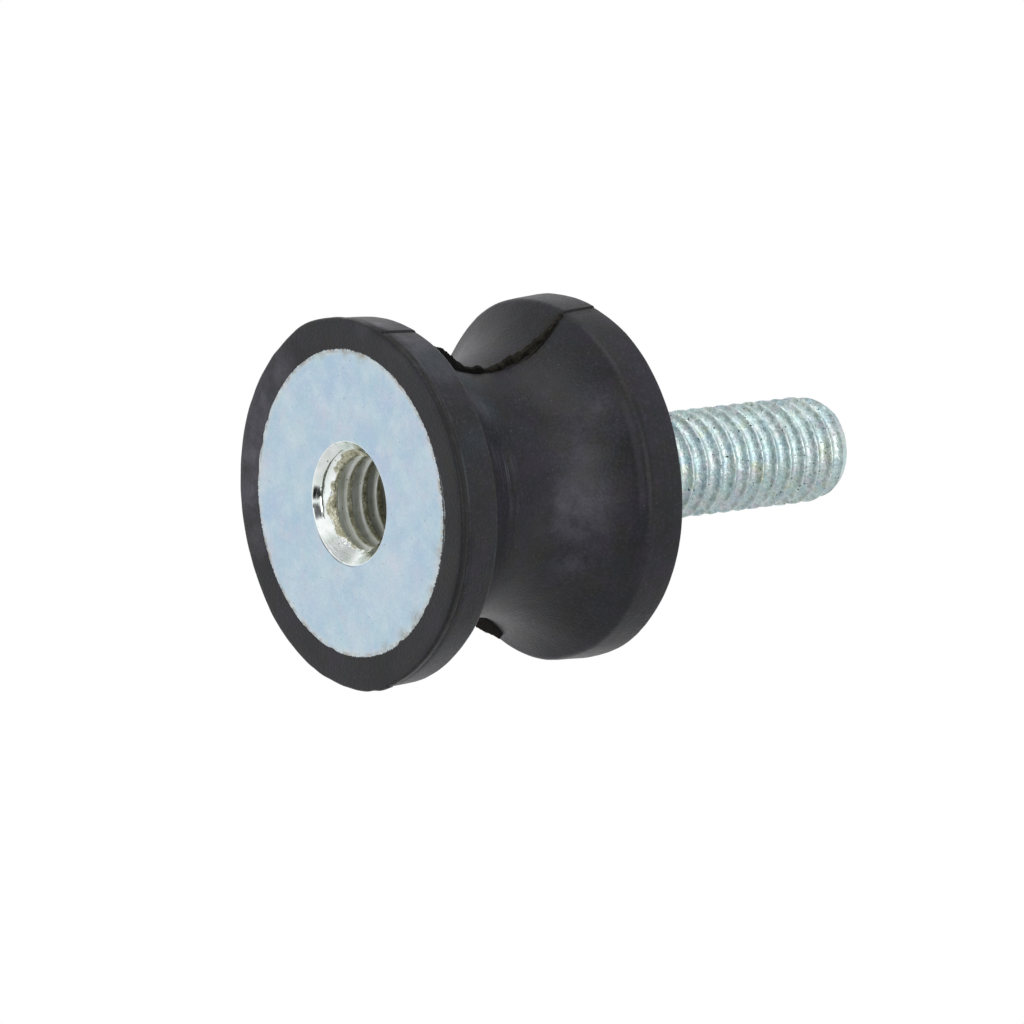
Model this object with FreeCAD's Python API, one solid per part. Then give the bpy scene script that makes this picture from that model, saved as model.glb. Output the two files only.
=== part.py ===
import FreeCAD, Part
import math
import os

from FreeCAD import Vector

# Bobbin vibration mount, tapped at one end and studded at the other: a waisted
# rubber body moulded round two steel plates. The origin is the centre of the
# tapped face, +Z runs along the axis to the stud, and the two halves of the
# mould part on the XZ plane. Lengths are millimetres.

# Rubber body
FLANGE_D = 20.0
BODY_H = 15.0
NEAR_LAND_W = 2.5
FAR_LAND_W = 2.2
LAND_DRAFT = 0.12
WAIST_D = 14.0
FACE_EDGE_CHAMFER = 0.12

# Steel plates, each covered by rubber round its rim
RIM_COVER = 1.65
PLATE_T = 2.0
PLATE_EDGE_CHAMFER = 0.3

# Tapped boss behind the first plate
BOSS_D = 9.4
BOSS_ROOT_FLARE = 0.4
BOSS_END_CHAMFER = 0.4
TAP_MINOR_D = 5.0
TAP_DEPTH = 6.2
DRILL_TIP_ANGLE = 118.0
BOSS_FLOOR = 0.7
COUNTERSINK_D = 6.76
COUNTERSINK_ANGLE = 90.0

# Headed stud, held in the second plate by its pressed neck
STUD_D = 6.0
STUD_LENGTH = 18.0
STUD_TIP_D = 4.6
STUD_TIP_LENGTH = 1.6
STUD_TIP_BULGE = 0.16
STUD_HEAD_D = 10.4
STUD_HEAD_T = 1.2
STUD_HEAD_CHAMFER = 0.25
NECK_D = 6.8
NECK_PRESS_CLEARANCE = 0.0

# Flash left where the mould halves part
FLASH_T = 0.2
FLASH_PROUD = 0.4
FLASH_ROOT = 0.8
WEB_T = 0.26
WEB_PROUD = 0.75
WEB_LENGTH = 1.95
WEB_BELOW_LAND = 0.55

CENTRE = Vector(0, 0, 0)
AXIS = Vector(0, 0, 1)
SAME = 1e-6

flange_r = FLANGE_D / 2
plate_r = flange_r - RIM_COVER
waist_r = WAIST_D / 2
land_back_r = flange_r - LAND_DRAFT
far_plate_z = BODY_H - PLATE_T
far_land_z = BODY_H - FAR_LAND_W
waist_z = (NEAR_LAND_W + far_land_z) / 2
boss_r = BOSS_D / 2
tap_r = TAP_MINOR_D / 2
drill_tip = tap_r / math.tan(math.radians(DRILL_TIP_ANGLE / 2))
boss_end_z = TAP_DEPTH + drill_tip + BOSS_FLOOR
countersink_r = COUNTERSINK_D / 2
countersink_depth = (countersink_r - tap_r) / math.tan(math.radians(COUNTERSINK_ANGLE / 2))
stud_r = STUD_D / 2
stud_end_z = BODY_H + STUD_LENGTH
neck_r = NECK_D / 2
head_z = far_plate_z - STUD_HEAD_T

# The waist is one arc between the back edges of the lands
waist_sagitta = land_back_r - waist_r
waist_half_chord = waist_z - NEAR_LAND_W
waist_arc_r = (waist_half_chord ** 2 + waist_sagitta ** 2) / (2 * waist_sagitta)


def at(radius, z):
    """A point of a turned profile, on the XZ plane."""
    return Vector(radius, 0, z)


def polyline(*points):
    """Straight edges through the points, in order."""
    return [Part.LineSegment(a, b).toShape() for a, b in zip(points, points[1:])]


def arc(start, middle, end):
    """One arc through three points."""
    return Part.Arc(start, middle, end).toShape()


def turned(edges):
    """The solid that a closed half profile sweeps round the axis."""
    return Part.Face(Part.Wire(edges)).revolve(CENTRE, AXIS, 360)


def disc(radius, thickness, z):
    """A flat round plate whose lower face is at z."""
    return Part.makeCylinder(radius, thickness, at(0, z), AXIS)


def circles(solid, radius, z):
    """The round edges of a solid that have this radius and height."""
    found = []
    for edge in solid.Edges:
        curve = edge.Curve
        if not isinstance(curve, Part.Circle):
            continue
        if abs(curve.Radius - radius) < SAME and abs(curve.Center.z - z) < SAME:
            found.append(edge)
    return found


def flank_r(z):
    """Radius of the waist's surface at height z."""
    return waist_r + waist_arc_r - math.sqrt(waist_arc_r ** 2 - (z - waist_z) ** 2)


def female_blank():
    """Plate and boss in one piece, before the hole is drilled and tapped."""
    plate = disc(plate_r, PLATE_T, 0)
    plate = plate.makeChamfer(PLATE_EDGE_CHAMFER, circles(plate, plate_r, PLATE_T))
    boss = disc(boss_r, boss_end_z, 0)
    boss = boss.makeChamfer(BOSS_END_CHAMFER, circles(boss, boss_r, boss_end_z))
    blank = plate.fuse(boss).removeSplitter()
    return blank.makeChamfer(BOSS_ROOT_FLARE, circles(blank, boss_r, PLATE_T))


def tapped_hole():
    """What drill and countersink take away, down to the drill's point."""
    return turned(polyline(
        at(0, 0),
        at(countersink_r, 0),
        at(tap_r, countersink_depth),
        at(tap_r, TAP_DEPTH),
        at(0, TAP_DEPTH + drill_tip),
        at(0, 0)))


def male_disc():
    """The second plate before its hole, with its buried edge chamfered."""
    plate = disc(plate_r, PLATE_T, far_plate_z)
    return plate.makeChamfer(PLATE_EDGE_CHAMFER, circles(plate, plate_r, far_plate_z))


def threaded_stud():
    """Stud with a flat head and neck in the plate and a tapered, rounded tip."""
    taper_z = stud_end_z - STUD_TIP_LENGTH
    tip_r = STUD_TIP_D / 2
    shoulder = at(stud_r, taper_z)
    end = at(tip_r, stud_end_z)
    chord = end - shoulder
    outward = Vector(chord.z, 0, -chord.x).normalize()
    crown = shoulder + chord * 0.5 + outward * STUD_TIP_BULGE
    head_r = STUD_HEAD_D / 2
    edges = polyline(
        at(0, stud_end_z),
        at(0, head_z),
        at(head_r - STUD_HEAD_CHAMFER, head_z),
        at(head_r, head_z + STUD_HEAD_CHAMFER),
        at(head_r, far_plate_z),
        at(neck_r, far_plate_z),
        at(neck_r, BODY_H),
        at(stud_r, BODY_H),
        shoulder)
    edges.append(arc(shoulder, crown, end))
    edges += polyline(end, at(0, stud_end_z))
    return turned(edges)


def male_plate():
    """The second plate, pressed on to the stud's neck."""
    bore_r = neck_r + NECK_PRESS_CLEARANCE
    return male_disc().cut(disc(bore_r, PLATE_T, far_plate_z))


def waisted_form():
    """Outside of the rubber: two drafted lands joined by the waist's arc."""
    near_back = at(land_back_r, NEAR_LAND_W)
    far_back = at(land_back_r, far_land_z)
    edges = polyline(at(0, 0), at(flange_r, 0), near_back)
    edges.append(arc(near_back, at(waist_r, waist_z), far_back))
    edges += polyline(far_back, at(flange_r, BODY_H), at(0, BODY_H), at(0, 0))
    form = turned(edges)
    corners = circles(form, flange_r, 0) + circles(form, flange_r, BODY_H)
    return form.makeChamfer(FACE_EDGE_CHAMFER, corners)


def fin(edges, thickness):
    """A flat fin on the parting plane, half its thickness to each side."""
    face = Part.Face(Part.Wire(edges))
    face.translate(Vector(0, -thickness / 2, 0))
    return face.extrude(Vector(0, thickness, 0))


def waist_flash():
    """Thin fin along the waist that dies away at the lands."""
    near_end = at(land_back_r, NEAR_LAND_W)
    far_end = at(land_back_r, far_land_z)
    crest = at(waist_r + FLASH_PROUD, waist_z)
    root_r = waist_r - FLASH_ROOT
    edges = [arc(near_end, crest, far_end)]
    edges += polyline(far_end, at(root_r, far_land_z), at(root_r, NEAR_LAND_W), near_end)
    return fin(edges, FLASH_T)


def flank_web():
    """Torn web of flash on the flank next to the stud, with a straight edge."""
    high_z = far_land_z - WEB_BELOW_LAND
    low_z = high_z - WEB_LENGTH
    root_r = waist_r - FLASH_ROOT
    return fin(polyline(
        at(root_r, low_z),
        at(flank_r(low_z) + WEB_PROUD, low_z),
        at(flank_r(high_z) + WEB_PROUD, high_z),
        at(root_r, high_z),
        at(root_r, low_z)), WEB_T)


def opposite(solid):
    """The same solid, turned to the other side of the axis."""
    turned_copy = solid.copy()
    turned_copy.rotate(CENTRE, AXIS, 180)
    return turned_copy


def rubber_body():
    """Rubber moulded round the plates, the boss and the stud's head."""
    near_fin = waist_flash()
    fins = [near_fin, opposite(near_fin), opposite(flank_web())]
    rubber = waisted_form().fuse(fins)
    return rubber.cut([female_blank(), male_disc(), threaded_stud()]).removeSplitter()


def main():
    os.makedirs("parts", exist_ok=True)
    pieces = {
        "rubber_body": rubber_body(),
        "female_insert": female_blank().cut(tapped_hole()),
        "male_plate": male_plate(),
        "threaded_stud": threaded_stud(),
    }
    for name, shape in pieces.items():
        solid = shape.Solids[0]
        print(name, len(shape.Solids), solid.isValid(), round(solid.Volume, 2))
        solid.exportStep("parts/" + name + ".step")


main()
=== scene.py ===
import math
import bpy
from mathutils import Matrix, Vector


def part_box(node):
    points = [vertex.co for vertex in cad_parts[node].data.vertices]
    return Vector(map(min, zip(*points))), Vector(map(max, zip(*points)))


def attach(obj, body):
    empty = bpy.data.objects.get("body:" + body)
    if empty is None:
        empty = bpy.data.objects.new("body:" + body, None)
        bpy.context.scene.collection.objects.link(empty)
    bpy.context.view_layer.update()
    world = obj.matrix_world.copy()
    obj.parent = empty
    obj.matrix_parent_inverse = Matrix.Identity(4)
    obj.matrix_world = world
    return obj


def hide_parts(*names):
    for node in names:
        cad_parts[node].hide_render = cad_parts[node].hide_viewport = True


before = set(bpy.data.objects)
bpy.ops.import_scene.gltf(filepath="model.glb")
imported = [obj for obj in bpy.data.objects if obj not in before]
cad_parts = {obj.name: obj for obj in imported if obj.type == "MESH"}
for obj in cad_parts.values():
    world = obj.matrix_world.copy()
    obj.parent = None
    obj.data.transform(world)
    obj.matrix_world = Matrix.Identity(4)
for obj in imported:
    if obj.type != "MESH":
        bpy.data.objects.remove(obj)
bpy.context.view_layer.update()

from types import SimpleNamespace

import bmesh
import bpy
from mathutils import Euler, Vector, noise

# Bobbin vibration mount: a waisted rubber body moulded round two zinc plated
# steel plates, tapped at one end and studded at the other. It stands on its
# tapped face, with +Z along the axis to the stud. The mould's two halves part
# at +X and -X. Lengths are millimetres and become metres where a vertex is made.
# An azimuth is in degrees round the axis, from +X towards +Y.

MM = 0.001
TURN = 2 * math.pi

# Sizes read from the frame
rubber_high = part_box("rubber_body")[1]
plate_low, plate_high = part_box("female_insert")
disc_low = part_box("male_plate")[0]
stud_low, stud_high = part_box("threaded_stud")

BODY_H = rubber_high.z / MM
PLATE_R = (plate_high.x - plate_low.x) / 2 / MM
BOSS_END_Z = plate_high.z / MM
FAR_PLATE_Z = disc_low.z / MM
HEAD_Z = stud_low.z / MM
HEAD_R = (stud_high.x - stud_low.x) / 2 / MM
STUD_END_Z = stud_high.z / MM

# Rubber
FLANGE_R = 10.0
LAND_FROM = 9.7
NEAR_LAND_W = 2.5
FAR_LAND_W = 2.2
LAND_DRAFT = 0.12
WAIST_R = 7.0
NEAR_ROUND = 0.3
FAR_ROUND = 0.5
FACE_EDGE_R = 0.16
RUBBER_STEPS = 720
WAIST_STEPS = 78
GATHER = 0.5
SKIN_RIPPLE = 0.03

# Heights of the rows of points on the lands, each from its own face
NEAR_LAND_ROWS = (0.3, 0.4, 0.45, 0.5, 0.55, 0.9, 1.4, 1.9)
FAR_LAND_ROWS = (1.6, 1.1, 0.6)

# Where the mould halves meet: one half stands proud over a short rise, with a
# groove beside it, as (half width, depth), on the lands and along the waist
MOULD_SHIFT = 0.07
SHIFT_RISE = 0.03
LAND_SEAM_Y = 0.04
LAND_GROOVE = (0.13, 0.12)
FAR_LAND_GROOVE = (0.08, 0.07)
SEAM_Y = 0.2
SEAM_GROOVE = (0.16, 0.14)

# How far from mid height the waist's groove is whole, and over how far it fades;
# the same for the whole joint above the tapped face, where its edge is worn
SEAM_WHOLE = (2.5, 2.5)
SEAM_WORN = (0.1, 0.3)

# The joint leaves the parting plane between two heights, and by how much
SEAM_DRIFT = (10.0, 12.6, -0.36)

# Thin lip that the mould's face plate leaves round the tapped flange, thicker
# between two azimuths, worn round at another, as (azimuth, reach, how deep), and
# the groove behind it
RIM_LIP = 0.04
RIM_LIP_Z = 0.42
RIM_LIP_THICK = (145.0, 205.0, 0.08)
RIM_WORN = (8.0, 24.0, 0.2)
RIM_GROOVE_Z = 0.5
RIM_GROOVE_HALF = 0.03
RIM_GROOVE = 0.03

# Where a knife trimmed the tapped flange: starts sharply and ends softly
TRIM_AT = (214.0, 262.0)
TRIM_RUN = (6.0, 56.0)
TRIM_DEPTH = 0.03

# How far the lands swell or shrink, as (azimuth, reach, how far out)
NEAR_SWELL = ((150, 26, 0.09), (352, 26, -0.1), (275, 50, 0.06), (320, 14, 0.1))
FAR_SWELL = ((320, 32, 0.22), (2, 14, -0.03), (95, 40, 0.11), (147, 15, -0.07))

# Rubber skin on the rim of the plate: where its row of points starts out, where
# it ends up, where it is worn back, as (azimuth, reach, how far outwards), and its
# tears, as (azimuth, half width, how far inwards)
LIP_AT = 8.23
LIP_R = 8.35
LIP_THICK = 0.038
LIP_WORN = (70, 46, 0.18)
LIP_TEARS = (
    (17, 2.5, 0.06), (53, 1.5, 0.1), (74, 2.0, 0.07), (87, 2.0, 0.1),
    (110, 2.5, 0.08), (131, 2.2, 0.12), (175, 2.2, 0.09), (193, 2.0, 0.05),
    (228, 2.0, 0.06), (259, 2.2, 0.06), (271, 4.0, 0.1), (281, 1.6, 0.08))
FILM_FROM = 8.4

# Flash on the parting plane: its tears, as (how deep, grain, seed), and outlines,
# as (height, how far it stands out of the waist)
FLASH_T = 0.22
FLASH_ROOT = 0.5
FLASH_STEP = 0.07
FLASH_WAVE = 0.06
FLASH_WAVE_LENGTH = 0.3
FLASH_TEARS = ((0.6, 0.45, 3.1), (0.6, 0.15, 8.7))
TORN_FLASH = (
    (2.7, 0.0), (3.5, 0.1), (4.0, 0.54), (4.6, 0.74), (5.3, 0.64), (5.9, 0.4), (6.4, 0.2),
    (6.9, 0.2), (7.2, 0.32), (7.5, 0.26), (7.75, 0.05))
ROUGH_FLASH = (
    (7.7, 0.05), (8.2, 0.12), (9.0, 0.34), (9.9, 0.5), (10.6, 0.46), (11.4, 0.32), (12.0, 0.16),
    (12.7, 0.0))
PLAIN_FLASH = ((2.6, 0.0), (4.6, 0.16), (10.6, 0.16), (12.1, 0.0))
WEB_T = 0.26
WEB = (
    (10.2, 0.7), (10.35, 0.86), (10.7, 0.86), (11.1, 0.8), (11.9, 0.5), (12.12, 0.4),
    (12.25, 0.0))

# Steel. A ripple is (how high, grain, seed)
PLATE_T = BODY_H - FAR_PLATE_Z
PLATE_SUNK = 0.03
PLATE_GAP = 0.02
PLATE_FACE_R = 8.62
PLATE_FACE_T = 0.15
BOSS_R = 4.7
PITCH = 1.0
THREAD_SLOPE = math.tan(math.radians(60))
PHASES = 16
STUD_STEPS = 216
STUD_R = 3.0
STUD_ROOT_R = 2.54
STUD_CREST_HALF = PITCH / 24
STUD_TIP_R = 2.32
STUD_TIP_LENGTH = 1.9
STUD_NECK_R = 3.4
STUD_PHASE = 0.285
STUD_RIPPLES = ((0.03, 0.3, 6.0), (0.015, 0.12, 2.0))
STUD_WORN = 0.015
TAP_STEPS = 288
TAP_R = 2.5
TAP_ROOT_R = 3.0
TAP_CREST_HALF = PITCH / 8
TAP_DEPTH = 6.2
TAP_TIP = 1.5
TAP_PHASE = 0.23
COUNTERSINK_R = 3.38
BURR_Z = (0.5, 1.15)
BURRS = ((0.05, 0.2, 5.0), (0.025, 0.09, 9.0))
CREST_RIPPLE = (0.025, 0.15, 3.0)

FAR_LAND_Z = BODY_H - FAR_LAND_W
MID_Z = (NEAR_LAND_W + FAR_LAND_Z) / 2
LAND_BACK_R = FLANGE_R - LAND_DRAFT
WAIST_SAGITTA = LAND_BACK_R - WAIST_R
WAIST_HALF_CHORD = MID_Z - NEAR_LAND_W
WAIST_ARC_R = (WAIST_HALF_CHORD ** 2 + WAIST_SAGITTA ** 2) / (2 * WAIST_SAGITTA)
WAIST_CENTRE_R = WAIST_R + WAIST_ARC_R

# How meshes are made: sectors that a turned form is copied round in, points
# nearer than this become one, and edges sharper than this angle look sharp
SECTORS = 12
SAME_POINT = 0.0005
SHARP_ANGLE = 38


def flank_r(z):
    """Radius of the waist's surface at height z."""
    return WAIST_CENTRE_R - math.sqrt(WAIST_ARC_R ** 2 - (z - MID_Z) ** 2)


def ripple(angle, radius, z, grain, seed):
    """Smooth noise from -1 to 1 on a turned surface, with features of size grain."""
    point = Vector((radius * math.cos(angle), radius * math.sin(angle), z)) / grain
    return noise.noise(point + Vector((seed, seed * 1.7, seed * 0.3)))


def ripples(angle, radius, z, layers):
    """Several ripples together, each (how high, grain, seed)."""
    return sum(most * ripple(angle, radius, z, grain, seed) for most, grain, seed in layers)


def degrees_apart(angle, azimuth):
    """How far an angle in radians lies from an azimuth, in degrees, without sign."""
    return abs((math.degrees(angle) - azimuth + 180) % 360 - 180)


def swell(distance, reach):
    """1 at no distance, falling smoothly to 0 at the reach."""
    share = max(0.0, min(1.0, distance / reach))
    return 1 - share * share * (3 - 2 * share)


def drift_y(z):
    """How far the mould's joint at +X lies off the parting plane at height z."""
    low, high, most = SEAM_DRIFT
    return most * (1 - swell(z - low, high - low))


def along(z, points):
    """The value at height z on straight lines between (height, value) points."""
    for (low, first), (high, second) in zip(points, points[1:]):
        if low <= z <= high:
            return first + (second - first) * (z - low) / (high - low)
    return 0.0


# Mesh tools

def chain(bm, points):
    """Edges through (radius, height) points on the XZ plane."""
    verts = [bm.verts.new((r * MM, 0, z * MM)) for r, z in points]
    edges = [bm.edges.new(pair) for pair in zip(verts, verts[1:])]
    return verts + edges


def spun(points, steps, rise=0.0):
    """A bmesh of the points turned once round the axis, climbing by rise: one
    sector is spun first, and then copied round."""
    bm = bmesh.new()
    climb = rise * MM / steps
    axle = {"cent": (0, 0, 0), "axis": (0, 0, 1)}
    bmesh.ops.spin(bm, geom=chain(bm, points), dvec=(0, 0, climb),
                   angle=TURN / SECTORS, steps=steps // SECTORS, **axle)
    bmesh.ops.spin(bm, geom=bm.verts[:] + bm.edges[:] + bm.faces[:],
                   dvec=(0, 0, climb * steps / SECTORS), angle=TURN - TURN / SECTORS,
                   steps=SECTORS - 1, use_duplicate=True, **axle)
    bmesh.ops.remove_doubles(bm, verts=bm.verts, dist=SAME_POINT * MM)
    return bm


def cut_level(bm, z, keep_above):
    """Cuts the mesh flat at height z and returns the cut's rim."""
    side = -1 if keep_above else 1
    cut = bmesh.ops.bisect_plane(
        bm, geom=bm.verts[:] + bm.edges[:] + bm.faces[:], dist=1e-9,
        plane_co=(0, 0, z * MM), plane_no=(0, 0, side), clear_outer=True)
    return [g for g in cut["geom_cut"] if isinstance(g, bmesh.types.BMEdge)]


def carry_rim(bm, rim, radius, z):
    """Extrudes an open rim to a new radius and height and returns the new rim."""
    made = bmesh.ops.extrude_edge_only(bm, edges=rim)["geom"]
    for vert in [g for g in made if isinstance(g, bmesh.types.BMVert)]:
        stretch = radius * MM / math.hypot(vert.co.x, vert.co.y)
        vert.co = (vert.co.x * stretch, vert.co.y * stretch, z * MM)
    return [g for g in made if isinstance(g, bmesh.types.BMEdge) and g.is_boundary]


def close_rim(bm, rim, z):
    """Closes an open rim with a cone to a point on the axis."""
    made = bmesh.ops.extrude_edge_only(bm, edges=rim)["geom"]
    tip = [g for g in made if isinstance(g, bmesh.types.BMVert)]
    bmesh.ops.pointmerge(bm, verts=tip, merge_co=(0, 0, z * MM))


def place(vert):
    """(angle, radius, height) of a vertex, in millimetres."""
    return math.atan2(vert.co.y, vert.co.x), math.hypot(vert.co.x, vert.co.y) / MM, vert.co.z / MM


def put(vert, angle, radius, z):
    """Moves a vertex to that angle, radius and height."""
    vert.co = (radius * MM * math.cos(angle), radius * MM * math.sin(angle), z * MM)


def finished(bm, name, body, node, materials):
    """Turns a bmesh into a smooth shaded piece that stands for a CAD node."""
    bmesh.ops.recalc_face_normals(bm, faces=bm.faces)
    mesh = bpy.data.meshes.new(name)
    bm.to_mesh(mesh)
    bm.free()
    mesh.shade_smooth()
    mesh.set_sharp_from_angle(angle=math.radians(SHARP_ANGLE))
    piece = bpy.data.objects.new(name, mesh)
    bpy.context.scene.collection.objects.link(piece)
    for material in materials:
        mesh.materials.append(material)
    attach(piece, body)
    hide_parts(node)
    return piece


# Material tools

def linear(colour):
    """An sRGB hex colour as the linear colour that a socket takes."""
    channels = [int(colour[i:i + 2], 16) / 255 for i in (1, 3, 5)]
    return [c / 12.92 if c <= 0.04045 else ((c + 0.055) / 1.055) ** 2.4 for c in channels] + [1.0]


def add(tree, kind, inputs, out=0, **settings):
    """Adds a node. Each input takes a value or another node's output, and what
    comes back is one output, or all of them where out is None."""
    node = tree.nodes.new("ShaderNode" + kind)
    for name, value in settings.items():
        setattr(node, name, value)
    for key, value in inputs.items():
        if isinstance(value, bpy.types.NodeSocket):
            tree.links.new(value, node.inputs[key])
        else:
            node.inputs[key].default_value = value
    return node.outputs if out is None else node.outputs[out]


def start_material(name, **constants):
    """A material with its shader; constants go on the shader's own sockets."""
    material = bpy.data.materials.new(name)
    material.use_nodes = True
    shader = material.node_tree.nodes["Principled BSDF"]
    for key, value in constants.items():
        shader.inputs[key.replace("_", " ")].default_value = value
    return material, material.node_tree, shader


def coordinates(tree):
    """Where a point is, in millimetres and radians round the axis."""
    where = add(tree, "TexCoord", {}, out="Object")
    plain = add(tree, "VectorMath", {0: where, "Scale": 1 / MM}, operation="SCALE")
    x, y, z = add(tree, "SeparateXYZ", {0: plain}, out=None)
    angle = add(tree, "Math", {0: y, 1: x}, operation="ARCTAN2")
    across = add(tree, "CombineXYZ", {0: x, 1: y})
    radius = add(tree, "VectorMath", {0: across}, out="Value", operation="LENGTH")
    return SimpleNamespace(plain=plain, x=x, y=y, z=z, angle=angle, radius=radius)


def patches(tree, where, grain, low, high, most=1.0, detail=3.0, seed=0.0):
    """Soft patches about one grain wide: 0 where the noise is at low, and most at high."""
    level = add(tree, "TexNoise", {"Vector": where, "W": seed, "Scale": 1 / grain,
                                   "Detail": detail, "Roughness": 0.6}, noise_dimensions="4D")
    return add(tree, "MapRange", {0: level, 1: low, 2: high, 4: most})


def streaks(tree, at, across, down, low, high, most=1.0, seed=0.0):
    """Streaks that run round the axis or along a section: across is their size
    round the axis in degrees, and down their size in radius and height."""
    unrolled = add(tree, "CombineXYZ", {0: at.angle, 1: at.radius, 2: at.z})
    scale = (1 / math.radians(across), 1 / down, 1 / down)
    spread = add(tree, "VectorMath", {0: unrolled, 1: scale}, operation="MULTIPLY")
    return patches(tree, spread, 1.0, low, high, most, seed=seed)


def band(tree, value, low, high, soft):
    """1 from low to high, falling to 0 over a soft margin outside them."""
    rise = add(tree, "MapRange", {0: value, 1: low - soft, 2: low})
    fall = add(tree, "MapRange", {0: value, 1: high + soft, 2: high})
    return add(tree, "Math", {0: rise, 1: fall}, operation="MULTIPLY")


def spots(tree, plain, places):
    """The strongest of several soft spots, each (azimuth, radius, height, reach, strength)."""
    total = 0.0
    for azimuth, radius, z, reach, strength in places:
        turn = math.radians(azimuth)
        centre = (radius * math.cos(turn), radius * math.sin(turn), z)
        gap = add(tree, "VectorMath", {0: plain, 1: centre}, out="Value", operation="DISTANCE")
        one = add(tree, "MapRange", {0: gap, 1: reach, 2: 0.0, 4: strength},
                  interpolation_type="SMOOTHSTEP")
        total = add(tree, "Math", {0: one, 1: total}, operation="MAXIMUM")
    return total


def layered(tree, under, over, *amounts):
    """A colour laid over another, as far as all of the amounts together allow."""
    total = 1.0
    for amount in amounts:
        total = add(tree, "Math", {0: amount, 1: total}, operation="MULTIPLY")
    return add(tree, "Mix", {0: total, 6: under, 7: linear(over)}, out=2, data_type="RGBA")


def clouded(tree, colour, plain, tints, low, high, most=0.7, detail=3.0):
    """A colour under soft clouds of other tints, each (colour, grain, seed)."""
    for tint, grain, seed in tints:
        cloud = patches(tree, plain, grain, low, high, most, detail=detail, seed=seed)
        colour = layered(tree, colour, tint, cloud)
    return colour


def speckled(tree, colour, grit, shades):
    """A colour with fine specks where the grit is high or low, each shade (colour,
    grit where it starts, grit where it is strongest, strength)."""
    for shade, start, full, most in shades:
        speck = add(tree, "MapRange", {0: grit, 1: start, 2: full, 4: most})
        colour = layered(tree, colour, shade, speck)
    return colour


def dress(tree, shader, colour, roughness, height, depth):
    """Joins colour and roughness to the shader, and a height times a depth in millimetres."""
    bump = add(tree, "Bump", {"Strength": 1.0, "Distance": depth * MM, "Height": height})
    for socket, key in ((colour, "Base Color"), (roughness, "Roughness"), (bump, "Normal")):
        tree.links.new(socket, shader.inputs[key])


# Where waxy bloom shows most on the rubber, with painted sheen in some of it on the
# tapped flange's land and the waist's flanks, and where it is dull and dark, partly
# painted shade on the far flank, greenish or scuffed, as (azimuth, radius, height,
# reach, strength)
BLOOM_AND_SHEEN = (
    (235, 8.9, 0.0, 1.6, 0.9), (250, 9.0, 0.0, 2.0, 1.3), (265, 9.1, 0.0, 2.2, 1.5),
    (284, 9.0, 0.0, 1.9, 1.1), (301, 9.0, 0.0, 2.0, 1.0), (270, 9.1, 0.0, 7.0, 1.1),
    (78, 7.6, 9.8, 3.4, 0.8), (53, 7.6, 10.2, 2.6, 0.4), (40, 8.6, 11.3, 2.4, 0.4),
    (28, 8.1, 4.0, 2.4, 0.5), (100, 8.0, 10.2, 2.6, 0.5), (10, 9.9, 1.3, 2.6, 0.6),
    (352, 10.0, 0.9, 1.5, 1.3), (22, 9.9, 1.6, 1.6, 0.6), (152, 8.2, 4.6, 3.0, 0.4),
    (312, 8.5, 11.2, 1.6, 0.8))
DULL_AND_SHADED = (
    (42, 9.93, 1.5, 2.2, 0.8), (70, 9.9, 1.7, 2.4, 0.5), (26, 7.1, 6.6, 1.8, 0.6),
    (345, 8.8, 12.0, 2.4, 0.9), (131, 7.2, 7.0, 2.4, 0.7), (133, 8.1, 11.1, 2.6, 0.9),
    (147, 9.2, 0.0, 3.0, 0.9), (71, 9.4, 0.0, 2.6, 0.5), (20, 8.6, 11.2, 2.0, 0.5))
GREENISH = (
    (18, 9.9, 1.3, 2.0, 0.7), (12, 7.6, 5.0, 1.8, 0.7), (28, 7.5, 5.2, 1.8, 0.8),
    (48, 9.9, 1.6, 1.6, 0.4))
SCUFF = (
    (53, 8.0, 4.1, 1.2, 0.6), (58, 7.5, 5.2, 1.6, 0.5), (30, 7.7, 4.9, 1.2, 0.5),
    (72, 7.3, 5.8, 1.3, 0.4))


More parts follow.
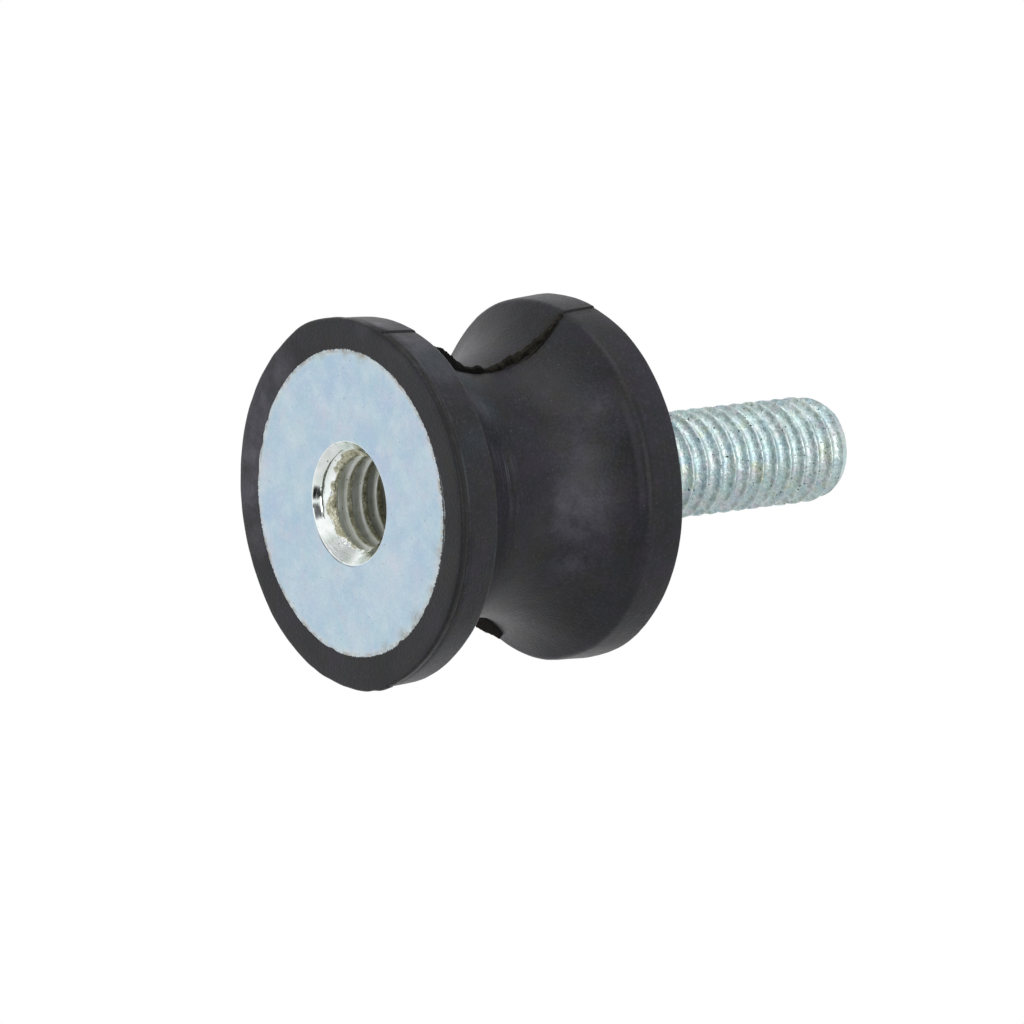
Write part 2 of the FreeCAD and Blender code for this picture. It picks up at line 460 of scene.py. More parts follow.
def moulded_rubber():
    """Natural rubber filled with carbon black, compression moulded: matt charcoal
    that turns pale at a glancing angle, with a thin grey waxy bloom in soft patches,
    faint rings from the mould's turned cavity and a few specks of dust. Painted light
    is laid into the colour too: sheen in some of the bloom, patches of shade, a
    shade strip under the lip, highlight lines at the lip and the far land's edge, and
    shade lines in the joint's grooves."""
    material, tree, shader = start_material(
        "moulded_black_rubber", Metallic=0.0, IOR=1.5, Specular_IOR_Level=0.26)
    at = coordinates(tree)
    colour = layered(tree, linear("#1a1a1f"), "#28272f",
                     patches(tree, at.plain, 2.6, 0.4, 0.62, detail=5.0))
    tints = ("#1b2429", 1.5, 1.0), ("#2b2532", 1.3, 2.0), ("#25231c", 1.4, 3.0)
    colour = clouded(tree, colour, at.plain, tints, 0.5, 0.64)
    # Darker, dull patches: on the far flank these are painted shade
    colour = layered(tree, colour, "#101010", spots(tree, at.plain, DULL_AND_SHADED), 0.8)
    colour = layered(tree, colour, "#26353b", spots(tree, at.plain, GREENISH))
    # Pale waxy bloom, partly painted sheen on the land's top and the flanks
    colour = layered(tree, colour, "#6b6976", spots(tree, at.plain, BLOOM_AND_SHEEN),
                     patches(tree, at.plain, 0.9, 0.26, 0.74, 0.75, detail=7.0, seed=4.0))
    colour = layered(tree, colour, "#3d3c44", streaks(tree, at, 50.0, 0.16, 0.5, 0.7, 0.12))
    grit = patches(tree, at.plain, 0.16, 0.3, 0.7, detail=2.0)
    colour = speckled(tree, colour, grit, (("#46454b", 0.6, 1.0, 0.4), ("#0f0f10", 0.4, 0.0, 0.5)))
    colour = layered(tree, colour, "#6b6d75", spots(tree, at.plain, SCUFF),
                     streaks(tree, at, 30.0, 0.1, 0.48, 0.66))
    # Painted highlight in a band along the far land's back edge, and a painted dark line of shade
    # on the land just beyond it
    painted_edge_light_span = band(tree, at.angle, math.radians(42), math.radians(73), 0.1)
    colour = layered(tree, colour, "#4a494f", painted_edge_light_span, band(tree, at.z, 12.5, 12.6, 0.12), 0.35)
    colour = layered(tree, colour, "#121213", painted_edge_light_span, band(tree, at.z, 12.95, 13.05, 0.15), 0.6)
    # Painted shade: a dark strip on the land under the tapped flange's lip
    painted_shade_under_lip = band(tree, at.z, 0.1, 0.46, 0.1)
    colour = layered(tree, colour, "#0d0c0a", painted_shade_under_lip,
                     patches(tree, at.plain, 0.6, 0.3, 0.5, 0.85, seed=5.0))
    # Painted highlight: a pale line just past the groove behind the lip
    painted_lip_highlight = band(tree, at.z, 0.55, 0.6, 0.06)
    colour = layered(tree, colour, "#54565a", painted_lip_highlight,
                     patches(tree, at.plain, 1.5, 0.44, 0.6, 0.3, seed=8.0))
    low, high, most = SEAM_DRIFT
    drift = add(tree, "MapRange", {0: at.z, 1: low, 2: high, 4: most},
                interpolation_type="SMOOTHSTEP")
    beside = add(tree, "Math", {0: at.y, 1: drift}, operation="SUBTRACT")
    right_half = add(tree, "Math", {0: at.x, 1: 0.0}, operation="GREATER_THAN")
    # Painted shadow: a black line in the groove beside the flash, on the +X side of the waist
    colour = layered(tree, colour, "#0a0a09", right_half,
                     band(tree, beside, SEAM_Y - 0.1, SEAM_Y + 0.08, 0.06),
                     band(tree, at.z, 4.5, 12.0, 0.6), 0.9)
    colour = layered(tree, colour, "#14130e", right_half, band(tree, beside, -0.3, SEAM_Y, 0.25),
                     band(tree, at.z, 8.2, 12.6, 0.8),
                     patches(tree, at.plain, 0.3, 0.36, 0.56, seed=9.0))
    # Painted shade: a dark line in the joint's groove on the lands at +X
    colour = layered(tree, colour, "#0d0d0c", add(tree, "MapRange", {0: at.x, 1: 9.4, 2: 9.6}),
                     band(tree, beside, -0.02, 0.12, 0.05),
                     band(tree, at.z, 0.4, BODY_H, 0.1), 0.8)
    dust = patches(tree, at.plain, 0.17, 0.73, 0.79, 0.4, detail=1.0, seed=6.0)
    colour = layered(tree, colour, "#7b7a7e", dust)
    grain = patches(tree, at.plain, 0.16, 0.2, 0.8, seed=7.0)
    roughness = add(tree, "MapRange", {0: grit, 3: 0.36, 4: 0.5})
    dress(tree, shader, colour, roughness, grain, 0.022)
    return material


def torn_rubber():
    """The same rubber where flash tore off at the parting line: rough and
    brownish black, because a torn face has no skin and no bloom."""
    material, tree, shader = start_material(
        "torn_rubber_flash", Metallic=0.0, IOR=1.5, Specular_IOR_Level=0.12)
    at = coordinates(tree)
    crumbs = patches(tree, at.plain, 0.3, 0.35, 0.65)
    colour = layered(tree, linear("#0f0e0d"), "#322f27", crumbs,
                     add(tree, "MapRange", {0: at.z, 1: 7.5, 2: 8.5}))
    colour = layered(tree, colour, "#2c2627",
                     add(tree, "MapRange", {0: at.x, 1: 1.0, 2: -1.0}), 0.8)
    roughness = add(tree, "MapRange", {0: crumbs, 3: 0.7, 4: 0.9})
    dress(tree, shader, colour, roughness, crumbs, 0.06)
    return material


# Dirt at the plate's rim, the dark line at the hole's and paler places, as
# (azimuth, radius, height, reach, strength)
SMUDGE = (
    (342, 8.2, 0.0, 0.6, 0.6), (352, 8.15, 0.0, 0.7, 0.5), (327, 8.2, 0.0, 0.5, 0.4),
    (86, 8.1, 0.0, 0.8, 0.4), (102, 8.2, 0.0, 0.6, 0.4), (117, 8.1, 0.0, 0.8, 0.6),
    (128, 8.1, 0.0, 0.7, 0.6), (141, 8.2, 0.0, 0.7, 0.5))
RIM_LINE = ((205, 3.4, 0.0, 1.3, 1.0), (185, 3.4, 0.0, 1.2, 0.8), (165, 3.4, 0.0, 0.8, 0.5))
PALE = (
    (158, 7.6, 0.0, 1.6, 0.6), (120, 5.5, 0.0, 3.5, 0.4), (190, 6.5, 0.0, 2.0, 0.3),
    (285, 6.0, 0.0, 2.5, 0.3))


def zinc_face():
    """Clear passivated zinc on pressed steel: pale blue satin with faint pink,
    green and violet clouds, a whiter worn rim, brownish dirt at the rubber and
    specks of rubber film left at the ragged lip."""
    material, tree, shader = start_material("clear_zinc_plated_face")
    at = coordinates(tree)
    colour = layered(tree, linear("#b0c8d9"), "#bed3dd", patches(tree, at.plain, 2.4, 0.42, 0.6))
    tints = (("#b4d0d4", 1.7, 1.0), ("#bcc6e0", 1.5, 2.0), ("#ccc9d6", 1.2, 3.0),
             ("#cbdce4", 1.0, 4.0), ("#a9c5da", 1.3, 5.0))
    colour = clouded(tree, colour, at.plain, tints, 0.48, 0.7, 0.6, detail=4.0)
    colour = layered(tree, colour, "#cbd8e0", spots(tree, at.plain, PALE))
    grit = patches(tree, at.plain, 0.14, 0.3, 0.7, detail=2.0, seed=6.0)
    colour = speckled(tree, colour, grit,
                      (("#a2b7c6", 0.42, 0.0, 0.4), ("#d2e0e8", 0.58, 1.0, 0.4)))
    colour = layered(tree, colour, "#75848f",
                     patches(tree, at.plain, 0.2, 0.7, 0.76, 0.6, detail=1.0, seed=7.0))
    spokes = streaks(tree, at, 1.6, 0.6, 0.35, 0.65)
    colour = layered(tree, colour, "#d3d4cf", spokes, band(tree, at.radius, 8.12, 9.0, 0.2), 0.7)
    dirty = streaks(tree, at, 4.0, 0.4, 0.45, 0.62, seed=8.0)
    colour = layered(tree, colour, "#94897a", dirty, band(tree, at.radius, 8.2, 9.0, 0.14), 0.6)
    colour = layered(tree, colour, "#8b8578", spots(tree, at.plain, SMUDGE),
                     patches(tree, at.plain, 0.16, 0.3, 0.6))
    hole_rim = band(tree, at.radius, COUNTERSINK_R, COUNTERSINK_R + 0.05, 0.05)
    colour = layered(tree, colour, "#6d6a68", hole_rim, spots(tree, at.plain, RIM_LINE))
    ragged = streaks(tree, at, 0.8, 0.5, 0.25, 0.75, 0.2, seed=9.0)
    creep = add(tree, "Math", {0: ragged, 1: at.radius}, operation="ADD")
    film = add(tree, "MapRange", {0: creep, 1: FILM_FROM, 2: FILM_FROM + 0.04})
    colour = layered(tree, colour, "#2b2a29", film,
                     add(tree, "MapRange", {0: at.radius, 1: 8.46, 2: 8.44}))
    tree.links.new(add(tree, "MapRange", {0: film, 3: 1.0, 4: 0.0}), shader.inputs["Metallic"])
    roughness = add(tree, "MapRange", {0: grit, 3: 0.32, 4: 0.46})
    turned = streaks(tree, at, 60.0, 0.11, 0.3, 0.7)
    near_hole = add(tree, "MapRange", {0: at.radius, 1: 5.4, 2: 3.6, 4: 0.6})
    height = add(tree, "Math", {0: turned, 1: near_hole, 2: grit}, operation="MULTIPLY_ADD")
    dress(tree, shader, colour, roughness, height, 0.006)
    return material


# Where the first crest is torn widest, and a deep nick in it, painted as a near black
# spot of shade, as (azimuth, radius, height, reach, strength)
WIDE_TEAR = ((238, 2.9, 0.8, 1.3, 1.0), (218, 2.9, 0.8, 1.1, 0.8))
NICK_SHADE = ((312, 2.75, 0.62, 0.2, 3.0),)


def cut_bore():
    """Countersink and thread cut in the steel before plating: the cone is turned
    smooth and bright, the thread's crests are torn and olive with thin yellow
    passivation, and its flanks are smooth and grey, darkened with painted shade
    towards the roots. A deep nick in the first crest is a painted spot of shade."""
    material, tree, shader = start_material("cut_and_plated_bore", Metallic=1.0)
    at = coordinates(tree)
    stain = patches(tree, at.plain, 0.8, 0.36, 0.64, detail=1.0)
    torn = patches(tree, at.plain, 0.1, 0.36, 0.64, detail=2.0, seed=1.0)
    flecks = patches(tree, at.plain, 0.24, 0.38, 0.56, detail=4.0, seed=4.0)
    flank = layered(tree, linear("#f3f6f3"), "#dfe3d9", stain)
    # Painted shade: the flank darkens towards the thread's root
    flank = layered(tree, flank, "#4d534c",
                    add(tree, "MapRange", {0: at.radius, 1: 2.86, 2: 2.98, 4: 0.4}))
    crest = layered(tree, linear("#c2c0a6"), "#83826a",
                    patches(tree, at.plain, 0.6, 0.4, 0.6, 0.8, seed=3.0))
    crest = layered(tree, crest, "#f4f3e4", flecks, torn)
    on_crest = add(tree, "MapRange", {0: at.radius, 1: 2.56, 2: 2.52})
    ragged_z = add(tree, "Math", {0: stain, 1: 0.2, 2: at.z}, operation="MULTIPLY_ADD")
    ragged_z = add(tree, "Math", {0: spots(tree, at.plain, WIDE_TEAR), 1: 0.22, 2: ragged_z},
                   operation="MULTIPLY_ADD")
    inside = add(tree, "MapRange", {0: at.radius, 1: 2.95, 2: 2.85})
    first_crest = add(tree, "Math", {0: band(tree, ragged_z, 0.9, 1.25, 0.06), 1: inside},
                      operation="MULTIPLY")
    rough_part = add(tree, "Math", {0: on_crest, 1: first_crest}, operation="MAXIMUM")
    on_cone = add(tree, "MapRange", {0: ragged_z, 1: 1.0, 2: 0.9})
    cone = layered(tree, linear("#fbffff"), "#e2ebe6", stain)
    colour = add(tree, "Mix", {0: on_cone, 6: flank, 7: cone}, out=2, data_type="RGBA")
    colour = add(tree, "Mix", {0: rough_part, 6: colour, 7: crest}, out=2, data_type="RGBA")
    pits = patches(tree, at.plain, 0.14, 0.68, 0.74, 0.7, detail=1.0, seed=2.0)
    colour = layered(tree, colour, "#30342f", pits)
    # Painted shade of a deep nick, as a near black spot
    colour = layered(tree, colour, "#141817", spots(tree, at.plain, NICK_SHADE))
    smooth = add(tree, "MapRange", {0: on_cone, 3: 0.4, 4: 0.08})
    roughness = add(tree, "Math", {0: rough_part, 1: 0.3, 2: smooth}, operation="MULTIPLY_ADD")
    rings = streaks(tree, at, 80.0, 0.07, 0.3, 0.7)
    height = add(tree, "Math", {0: torn, 1: rough_part}, operation="MULTIPLY")
    height = add(tree, "Math", {0: rings, 1: 0.12, 2: height}, operation="MULTIPLY_ADD")
    dress(tree, shader, colour, roughness, height, 0.03)
    return material


# Yellow stains on the stud, darker patches on its upper side that are painted shade,
# and one deep pit painted as a black spot of shade, as (azimuth, radius, height,
# reach, strength)
YELLOW = ((86, 3.0, 26.6, 0.9, 0.8), (70, 3.0, 31.5, 1.4, 0.4), (96, 3.0, 19.0, 1.2, 0.3))
PAINTED_SHADE_PATCHES = (
    (20, 3.0, 28.5, 2.2, 0.7), (25, 3.0, 31.2, 1.8, 0.6), (8, 3.0, 25.0, 1.8, 0.5),
    (10, 3.0, 22.0, 1.5, 0.3))
DEEP_PIT_SHADE = ((91, 3.0, 26.2, 0.16, 3.0),)


def zinc_thread():
    """Clear zinc on a rolled thread: pale blue green grey and grainy to the eye,
    with thin worn crests painted white as sparkling glints, dull yellow film in places
    and tiny black pits. Painted shade darkens patches on the upper side, a thin line
    beside each crest and one deep pit."""
    material, tree, shader = start_material("clear_zinc_plated_thread", Metallic=1.0)
    at = coordinates(tree)
    colour = layered(tree, linear("#b6cdd1"), "#cfdcdb",
                     patches(tree, at.plain, 0.9, 0.4, 0.6, detail=5.0))
    tints = (("#cbd2b6", 0.8, 1.0), ("#a9c6d6", 0.9, 2.0), ("#bfe0dc", 0.8, 3.0),
             ("#cfc8d2", 0.7, 4.0))
    colour = clouded(tree, colour, at.plain, tints, 0.5, 0.68)
    grit = patches(tree, at.plain, 0.11, 0.34, 0.66, detail=2.0, seed=5.0)
    colour = speckled(tree, colour, grit,
                      (("#8ea3a3", 0.45, 0.0, 0.5), ("#eef7f5", 0.55, 1.0, 0.45)))
    # Painted shade: darker patches on the stud's upper side
    colour = layered(tree, colour, "#71857f", spots(tree, at.plain, PAINTED_SHADE_PATCHES),
                     patches(tree, at.plain, 0.4, 0.36, 0.6))
    colour = layered(tree, colour, "#b7ba84", spots(tree, at.plain, YELLOW),
                     patches(tree, at.plain, 0.4, 0.4, 0.6))
    lead = add(tree, "Math", {0: at.angle, 1: -PITCH / TURN, 2: at.z}, operation="MULTIPLY_ADD")
    past_crest = add(tree, "Math", {0: lead, 1: STUD_PHASE}, operation="SUBTRACT")
    past_crest = add(tree, "Math", {0: past_crest, 1: PITCH}, operation="FLOORED_MODULO")
    # Painted shade: a thin darker line on the flank on the body's side of each crest
    colour = layered(tree, colour, "#77837b", band(tree, past_crest, 0.84, 0.9, 0.08),
                     patches(tree, at.plain, 0.4, 0.42, 0.6, 0.5, seed=8.0))
    # Worn crests painted white: partly real wear, partly a painted glint
    worn_crest_and_glint = add(tree, "MapRange", {0: at.radius, 1: 2.93, 2: 2.98})
    colour = layered(tree, colour, "#ffffff", worn_crest_and_glint,
                     patches(tree, at.plain, 0.16, 0.5, 0.6, 0.6, seed=6.0))
    pits = patches(tree, at.plain, 0.17, 0.68, 0.73, detail=1.0, seed=7.0)
    colour = layered(tree, colour, "#1c2122", pits)
    # Painted shade of one deep pit, as a near black spot
    colour = layered(tree, colour, "#101412", spots(tree, at.plain, DEEP_PIT_SHADE))
    roughness = add(tree, "MapRange", {0: grit, 3: 0.34, 4: 0.48})
    dress(tree, shader, colour, roughness, grit, 0.014)
    return material


# Rubber body

def lip_r(angle, seed):
    """Radius of the thin rubber skin that creeps over a plate's rim."""
    azimuth, reach, most = LIP_WORN
    radius = LIP_R + ripples(angle, PLATE_R, 0, ((0.03, 0.2, seed), (0.04, 0.8, seed + 5)))
    radius += most * swell(degrees_apart(angle, azimuth), reach)
    for azimuth, reach, depth in LIP_TEARS:
        radius -= depth * swell(degrees_apart(angle, azimuth), reach)
    return radius


def land_round(radius, end):
    """Points of the round between a land and the waist, and the angle on the waist
    where it starts; end is -1 near the tapped face and 1 far from it."""
    centre_r = LAND_BACK_R - radius
    offset = math.sqrt((WAIST_ARC_R + radius) ** 2 - (WAIST_CENTRE_R - centre_r) ** 2)
    start = math.atan2(offset, WAIST_CENTRE_R - centre_r)
    angles = [start * i / 6 for i in range(7)]
    arc = [(centre_r + radius * math.cos(a), MID_Z + end * (offset - radius * math.sin(a)))
           for a in angles]
    return arc, start


def rubber_profile():
    """Half section of the rubber, from the boss's end round to the stud's head."""
    near_round, near_angle = land_round(NEAR_ROUND, -1)
    far_round, far_angle = land_round(FAR_ROUND, 1)
    span = near_angle + far_angle
    angles = [span * i / WAIST_STEPS - near_angle for i in range(1, WAIST_STEPS)]
    waist = [(WAIST_CENTRE_R - WAIST_ARC_R * math.cos(a), MID_Z + WAIST_ARC_R * math.sin(a))
             for a in angles]
    bend = [(1 - math.cos(i * math.pi / 8), math.sin(i * math.pi / 8)) for i in range(5)]
    near_edge = [(FLANGE_R - FACE_EDGE_R + FACE_EDGE_R * s, FACE_EDGE_R * c) for c, s in bend]
    far_edge = [(r, BODY_H - z) for r, z in reversed(near_edge)]
    near_face = [(PLATE_R, 0.04), (LIP_AT - 0.03, 0.035), (LIP_AT, 0.008), (8.75, 0), (9.1, 0),
                 (9.5, 0)]
    far_face = [(r, BODY_H - z) for r, z in reversed(near_face)]
    near_land = [(FLANGE_R - LAND_DRAFT * z / NEAR_LAND_W, z) for z in NEAR_LAND_ROWS]
    far_land = [(FLANGE_R - LAND_DRAFT * z / FAR_LAND_W, BODY_H - z) for z in FAR_LAND_ROWS]
    round_boss = [(0, BOSS_END_Z), (BOSS_R, BOSS_END_Z), (BOSS_R, PLATE_T), (PLATE_R, PLATE_T)]
    round_head = [(PLATE_R, FAR_PLATE_Z), (HEAD_R, FAR_PLATE_Z), (HEAD_R, HEAD_Z), (0, HEAD_Z)]
    near_end = round_boss + near_face + near_edge + near_land + near_round
    far_end = far_round[::-1] + far_land + far_edge + far_face + round_head
    return near_end + waist + far_end


def shaped_skin(angle, radius, z):
    """Where a point of the rubber's outside lies once its flaws are put in."""
    radius += SKIN_RIPPLE * ripple(angle, radius, z, 3.0, 7.0)
    radius += 0.3 * SKIN_RIPPLE * ripple(angle, radius, z, 0.7, 2.0)
    swelling = NEAR_SWELL if z < MID_Z else FAR_SWELL
    rise = sum(most * swell(degrees_apart(angle, azimuth), reach)
               for azimuth, reach, most in swelling)
    radius += rise * (1 - swell(radius - WAIST_R - 0.5, 2.0))
    if radius < LAND_FROM:
        return radius
    azimuth = math.degrees(angle) % 360
    if z < NEAR_LAND_W:
        (start, end), (run_in, run_out) = TRIM_AT, TRIM_RUN
        radius -= TRIM_DEPTH * swell(start - azimuth, run_in) * swell(azimuth - end, run_out)
    if z < RIM_LIP_Z:
        start, end, thick = RIM_LIP_THICK
        lip = RIM_LIP + thick * (azimuth > start) * swell(azimuth - start, end - start)
        radius += lip * (0.8 + 0.5 * ripple(angle, radius, 0, 0.8, 4.0))
        worn_at, reach, depth = RIM_WORN
        radius -= depth * swell(degrees_apart(angle, worn_at), reach) * (1 - z / RIM_LIP_Z)
    if abs(z - RIM_GROOVE_Z) < RIM_GROOVE_HALF:
        radius -= RIM_GROOVE
    return radius


def part_halves(vert, radius, z):
    """Shifts the mould's halves at +X, and sinks the groove beside their joint."""
    beside = vert.co.y / MM - drift_y(z)
    worn_z, fade = SEAM_WORN
    unworn = 1 - swell(z - worn_z, fade)
    vert.co.x -= max(-1.0, min(1.0, beside / SHIFT_RISE)) * MOULD_SHIFT / 2 * unworn * MM
    if NEAR_LAND_W < z < FAR_LAND_Z:
        half, depth = SEAM_GROOVE
        whole, fade = SEAM_WHOLE
        depth *= swell(abs(beside - SEAM_Y), half) * swell(abs(z - MID_Z) - whole, fade)
        vert.co.x -= depth * MM
    elif radius > LAND_FROM - 0.1:
        half, depth = LAND_GROOVE if z < MID_Z else FAR_LAND_GROOVE
        vert.co.x -= depth * swell(abs(beside - LAND_SEAM_Y), half) * unworn * MM


def make_rubber(skin_material, torn_material):
    """The body with its ragged lips, uneven skin, shifted mould halves and flash."""
    bm = spun(rubber_profile(), RUBBER_STEPS)
    for vert in bm.verts:
        angle, radius, z = place(vert)
        angle -= GATHER / 2 * math.sin(2 * angle)
        outside = radius > LIP_AT + 0.2 or radius > BOSS_R + 1 and PLATE_T < z < FAR_PLATE_Z
        if abs(radius - LIP_AT) < 0.05 and min(z, BODY_H - z) < LIP_THICK:
            radius += lip_r(angle, 3.0 if z < MID_Z else 11.0) - LIP_AT
        elif outside:
            radius = shaped_skin(angle, radius, z)
        put(vert, angle, radius, z)
        if outside and vert.co.x > 0:
            part_halves(vert, radius, z)
    add_flash(bm, 1, TORN_FLASH, 0.2, FLASH_T)
    add_flash(bm, 1, ROUGH_FLASH, 0.6, FLASH_T)
    add_flash(bm, -1, PLAIN_FLASH, 0.4, FLASH_T)
    add_flash(bm, -1, WEB, 0.1, WEB_T)
    return finished(bm, "rubber_skin", "root", "rubber_body",
                    [skin_material, torn_material])


def add_flash(bm, side, outline, raggedness, thickness):
    """Adds a torn fin on the parting plane to the mesh, at +X or -X, which stands
    as far out of the waist as its outline says."""
    low, high = outline[0][0], outline[-1][0]
    count = round((high - low) / FLASH_STEP)
    heights = [low + (high - low) * i / count for i in range(count + 1)]
    root = chain(bm, [(flank_r(z) - FLASH_ROOT, z) for z in heights])
    edges = [g for g in root if isinstance(g, bmesh.types.BMEdge)]
    verts = [g for g in root if isinstance(g, bmesh.types.BMVert)]
    faces = []
    for share in (0.0, 0.25, 0.5, 0.75, 1.0):
        made = bmesh.ops.extrude_edge_only(bm, edges=edges)["geom"]
        edges = [g for g in made
                 if isinstance(g, bmesh.types.BMEdge) and g.is_boundary and g not in edges]
        new = [g for g in made if isinstance(g, bmesh.types.BMVert)]
        faces += [g for g in made if isinstance(g, bmesh.types.BMFace)]
        for vert in new:
            z = vert.co.z / MM
            torn = sum(most * noise.noise(Vector((z / grain, seed, side)))
                       for most, grain, seed in FLASH_TEARS)
            vert.co.x = (flank_r(z) + share * along(z, outline) * (1 + raggedness * torn)) * MM
        edges = [e for e in edges if all(v in new for v in e.verts)]
        verts += new
    made = bmesh.ops.solidify(bm, geom=faces, thickness=thickness * MM)["geom"]
    walls = [g for g in made if isinstance(g, bmesh.types.BMFace)]
    verts = {v for f in faces + walls for v in f.verts}
    middle = sum(v.co.y for v in verts) / len(verts)
    for vert in verts:
        out = vert.co.x / MM - flank_r(vert.co.z / MM)
        slim = 1 - 0.5 * max(0.0, min(1.0, out / 0.5))
        spread = Vector((vert.co.x, 40 * vert.co.y, vert.co.z)) / (FLASH_WAVE_LENGTH * MM)
        wave = FLASH_WAVE * noise.noise(spread)
        vert.co.y = (vert.co.y - middle) * slim + wave * MM
        vert.co.x *= side
        vert.co.y *= side
        if side > 0:
            vert.co.y += drift_y(vert.co.z / MM) * MM
    for face in {f for v in verts for f in v.link_faces}:
        face.material_index = 1


# Threads

def stud_thread_r(offset):
    """Radius of the stud's thread at an offset from a crest, along the axis: a
    rolled thread is round at its root."""
    reach = abs(offset - PITCH * round(offset / PITCH)) - STUD_CREST_HALF
    share = max(0.0, reach / (PITCH / 2 - STUD_CREST_HALF))
    return STUD_R - (STUD_R - STUD_ROOT_R) * (1 - (1 - share) ** 2)


def tap_thread_r(offset):
    """Radius of the tapped thread at an offset from a crest, along the axis."""
    reach = abs(offset - PITCH * round(offset / PITCH)) - TAP_CREST_HALF
    return max(TAP_R, min(TAP_ROOT_R, TAP_R + THREAD_SLOPE * reach))


def thread_sheet(radius_at, low, high, phase, steps):
    """A helical sheet that covers the heights from low to high."""
    first = math.floor(low / PITCH) - 2
    count = (math.ceil(high / PITCH) + 1 - first) * PHASES
    heights = [first * PITCH + phase + i * PITCH / PHASES for i in range(count + 1)]
    return spun([(radius_at(z - phase), z) for z in heights], steps, rise=PITCH)


def stud_tip_r(z):
    """Largest radius that the stud's rounded tip leaves at height z."""
    share = max(0.0, min(1.0, (z - STUD_END_Z + STUD_TIP_LENGTH) / STUD_TIP_LENGTH))
    return STUD_TIP_R + (STUD_R - STUD_TIP_R) * math.sqrt(1 - share * share)


def make_stud(material):
    """Rolled thread with a rounded tip, and the neck and head buried in the mount."""
    bm = thread_sheet(stud_thread_r, BODY_H, STUD_END_Z, STUD_PHASE, STUD_STEPS)
    foot = cut_level(bm, BODY_H, keep_above=True)
    end = cut_level(bm, STUD_END_Z, keep_above=False)
    for vert in bm.verts:
        angle, radius, z = place(vert)
        radius += ripples(angle, radius, z, STUD_RIPPLES) - STUD_WORN
        put(vert, angle, min(radius, stud_tip_r(z)), z)
    rim = foot
    for radius, z in ((STUD_NECK_R - 0.04, BODY_H), (STUD_NECK_R, BODY_H - 0.04),
                      (STUD_NECK_R, FAR_PLATE_Z), (HEAD_R, FAR_PLATE_Z), (HEAD_R, HEAD_Z)):
        rim = carry_rim(bm, rim, radius, z)
    close_rim(bm, rim, HEAD_Z)
    close_rim(bm, end, STUD_END_Z)
    return finished(bm, "rolled_stud", "root", "threaded_stud", [material])


def make_insert(face_material, bore_material):
    """Plate with its countersunk and tapped boss, in one piece."""
    bm = thread_sheet(tap_thread_r, 0, TAP_DEPTH, TAP_PHASE, TAP_STEPS)
    for vert in bm.verts:
        angle, radius, z = place(vert)
        cone = COUNTERSINK_R - z
        burr = BURR_Z[0] < z < BURR_Z[1] and (radius < TAP_R + 0.15 or cone > radius)
        torn = ripples(angle, radius, z, BURRS)
        if z > BURR_Z[1] and radius < TAP_R + 0.1:
            radius += ripples(angle, radius, z, (CREST_RIPPLE,))
        put(vert, angle, max(radius, cone) + burr * torn * swell(abs(cone - TAP_R), 0.4), z)
    mouth = cut_level(bm, PLATE_SUNK, keep_above=True)
    bottom = cut_level(bm, TAP_DEPTH, keep_above=False)
    close_rim(bm, bottom, TAP_DEPTH + TAP_TIP)
    rim = mouth
    for radius, z in ((COUNTERSINK_R - 0.01, PLATE_SUNK - 0.004),
                      (COUNTERSINK_R + 0.02, PLATE_SUNK), (5.0, PLATE_SUNK),
                      (PLATE_FACE_R, PLATE_SUNK), (PLATE_R - PLATE_GAP, PLATE_FACE_T),
                      (PLATE_R - PLATE_GAP, PLATE_T), (BOSS_R, PLATE_T), (BOSS_R, BOSS_END_Z)):
        rim = carry_rim(bm, rim, radius, z)
    close_rim(bm, rim, BOSS_END_Z)
    for face in bm.faces:
        centre = face.calc_center_median() / MM
        in_bore = math.hypot(centre.x, centre.y) < COUNTERSINK_R
        face.material_index = 1 if in_bore and centre.z < TAP_DEPTH + TAP_TIP else 0
    return finished(bm, "tapped_insert", "root", "female_insert",
                    [face_material, bore_material])


def make_disc(material):
    """The second plate, pressed on the stud's neck."""
    top = BODY_H - PLATE_SUNK
    outer = PLATE_R - PLATE_GAP
    bore = STUD_NECK_R + 0.01
    ring = [(bore, FAR_PLATE_Z), (bore, top - 0.05), (bore + 0.05, top), (PLATE_FACE_R, top),
            (outer, BODY_H - PLATE_FACE_T), (outer, FAR_PLATE_Z), (bore, FAR_PLATE_Z)]
    bm = spun(ring, 288)
    return finished(bm, "stud_plate", "root", "male_plate", [material])


# Stage

CAMERA_AT = (145.434, 288.911, -235.492)
CAMERA_TURN = Euler([math.radians(v) for v in (170.9469, -52.1524, 74.4183)])
CAMERA_LENS = 262.07
SENSOR = 36.0
PICTURE_RIGHT, PICTURE_UP, TOWARDS_CAMERA = CAMERA_TURN.to_matrix().transposed()


def make_camera():
    """The photograph's viewpoint: below the tapped face, with the stud away."""
    data = bpy.data.cameras.new("viewpoint")
    data.lens = CAMERA_LENS
    data.sensor_width = SENSOR
    data.clip_start = 0.01
    data.clip_end = 10.0
    camera = bpy.data.objects.new("viewpoint", data)
    camera.location = [v * MM for v in CAMERA_AT]
    camera.rotation_euler = CAMERA_TURN
    bpy.context.scene.collection.objects.link(camera)
    bpy.context.scene.camera = camera


def make_lamp(name, direction, distance, size, power):
    """A soft square lamp that faces the part's middle."""
    data = bpy.data.lights.new(name, "AREA")
    data.size = size
    data.energy = power
    lamp = bpy.data.objects.new(name, data)
    aim = Vector((0, 0, MID_Z * MM))
    away = direction.normalized()
    lamp.location = aim + away * distance
    lamp.rotation_euler = away.to_track_quat("Z", "Y").to_euler()
    lamp.visible_camera = False
    bpy.context.scene.collection.objects.link(lamp)


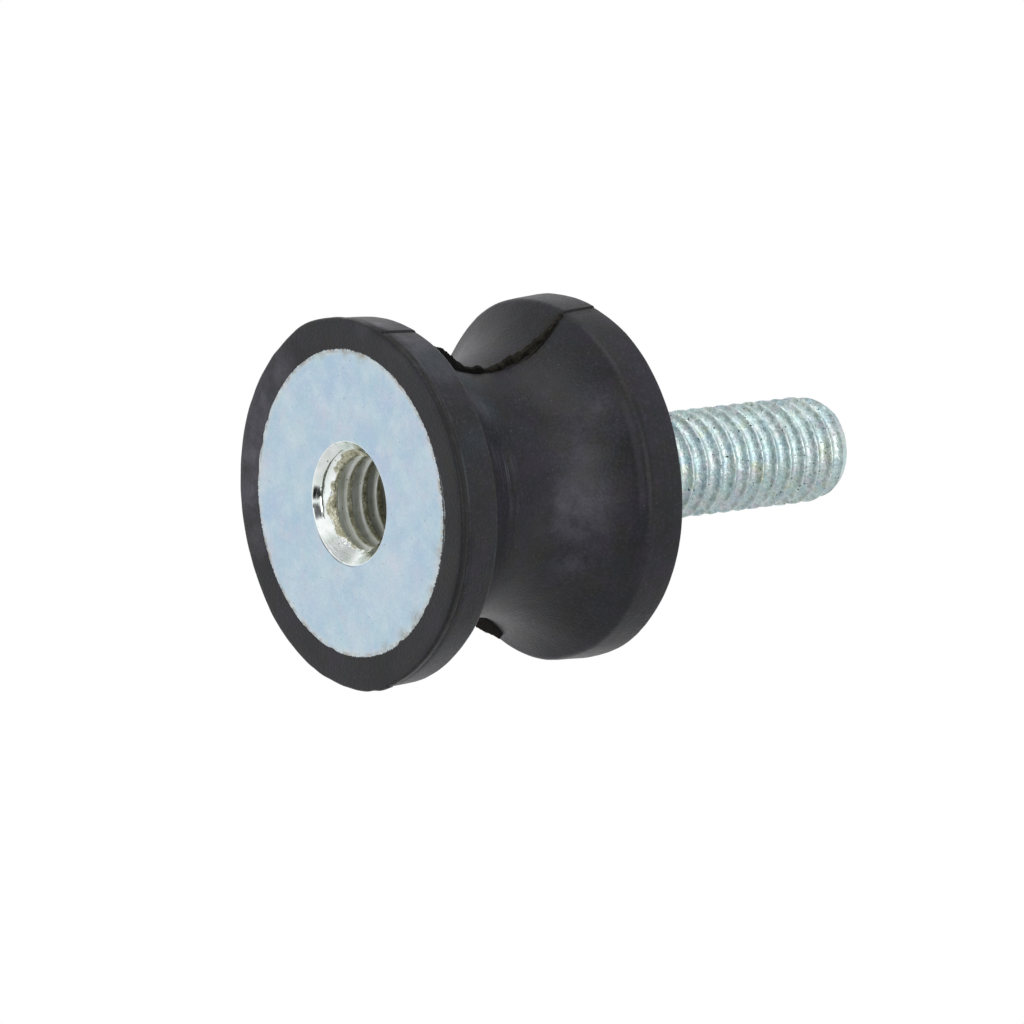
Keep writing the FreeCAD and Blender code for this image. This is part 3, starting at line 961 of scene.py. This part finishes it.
def make_floor():
    """A pale floor that shows from above only, so the view from below is clear."""
    bm = bmesh.new()
    bmesh.ops.create_grid(bm, x_segments=1, y_segments=1, size=0.6)
    mesh = bpy.data.meshes.new("pale_floor")
    bm.to_mesh(mesh)
    bm.free()
    floor = bpy.data.objects.new("pale_floor", mesh)
    floor.location.z = -0.2 * MM
    bpy.context.scene.collection.objects.link(floor)
    material, tree, shader = start_material("pale_floor_paint", Roughness=0.8)
    shader.inputs["Base Color"].default_value = linear("#f2f2f2")
    clear = add(tree, "BsdfTransparent", {})
    back = add(tree, "NewGeometry", {}, out="Backfacing")
    mix = add(tree, "MixShader", {0: back, 1: shader.outputs[0], 2: clear})
    tree.links.new(mix, tree.nodes["Material Output"].inputs[0])
    mesh.materials.append(material)
    floor.visible_diffuse = False
    floor.visible_glossy = False
    floor.visible_transmission = False
    floor.visible_shadow = False


# Dark things in the white tent that only show in bright metal, as (right, up and
# towards the camera, half angle in degrees, level), and how dim the tent is
# below and overhead
DARK_CARDS = (((-0.26, -0.38, 0.89), 9.5, 0.0), ((-0.295, 0.05, 0.954), 11.0, 0.12))
TENT_BELOW = 0.7
TENT_ABOVE = 0.55


def make_surround():
    """A white tent with a soft fill, white to the camera and nearly so in reflections."""
    world = bpy.data.worlds.new("white_tent")
    bpy.context.scene.world = world
    world.use_nodes = True
    tree = world.node_tree
    tree.nodes.clear()
    path = add(tree, "LightPath", {}, out=None)
    direction = add(tree, "TexCoord", {}, out="Generated")
    upward = add(tree, "VectorMath", {0: direction, 1: PICTURE_UP}, out="Value",
                 operation="DOT_PRODUCT")
    below = add(tree, "MapRange", {0: upward, 1: -0.9, 2: -0.3, 3: TENT_BELOW, 4: 1.0})
    above = add(tree, "MapRange", {0: upward, 1: 0.6, 2: 0.76, 3: 1.0, 4: TENT_ABOVE})
    mirrored = add(tree, "Math", {0: below, 1: above}, operation="MULTIPLY")
    for (right, up, towards), half, level in DARK_CARDS:
        aim = (right * PICTURE_RIGHT + up * PICTURE_UP + towards * TOWARDS_CAMERA).normalized()
        facing = add(tree, "VectorMath", {0: direction, 1: aim}, out="Value",
                     operation="DOT_PRODUCT")
        edge = [math.cos(math.radians(half + soft)) for soft in (1.5, -1.5)]
        card = add(tree, "MapRange", {0: facing, 1: edge[0], 2: edge[1], 3: 1.0, 4: level})
        mirrored = add(tree, "Math", {0: mirrored, 1: card}, operation="MULTIPLY")
    seen = add(tree, "Math", {0: path["Is Camera Ray"], 1: path["Is Transmission Ray"]},
               operation="MAXIMUM")
    white = add(tree, "Math", {0: seen, 1: mirrored}, operation="MAXIMUM")
    bright = add(tree, "Background", {0: (1, 1, 1, 1), 1: white})
    fill = add(tree, "Background", {0: (1, 1, 1, 1), 1: 0.5})
    shown = add(tree, "Math", {0: seen, 1: path["Is Glossy Ray"]}, operation="MAXIMUM")
    mix = add(tree, "MixShader", {0: shown, 1: fill, 2: bright})
    output = tree.nodes.new("ShaderNodeOutputWorld")
    tree.links.new(mix, output.inputs[0])


make_camera()
make_surround()
make_floor()
make_lamp("overhead_softbox", PICTURE_UP + 0.3 * TOWARDS_CAMERA, 0.35, 0.3, 0.5)
make_lamp("front_softbox", 0.38 * PICTURE_RIGHT + 0.92 * TOWARDS_CAMERA, 0.6, 0.3, 0.95)

zinc = zinc_face()
make_rubber(moulded_rubber(), torn_rubber())
make_insert(zinc, cut_bore())
make_disc(zinc)
make_stud(zinc_thread())

bpy.context.scene.view_settings.view_transform = "Standard"
bpy.context.view_layer.update()
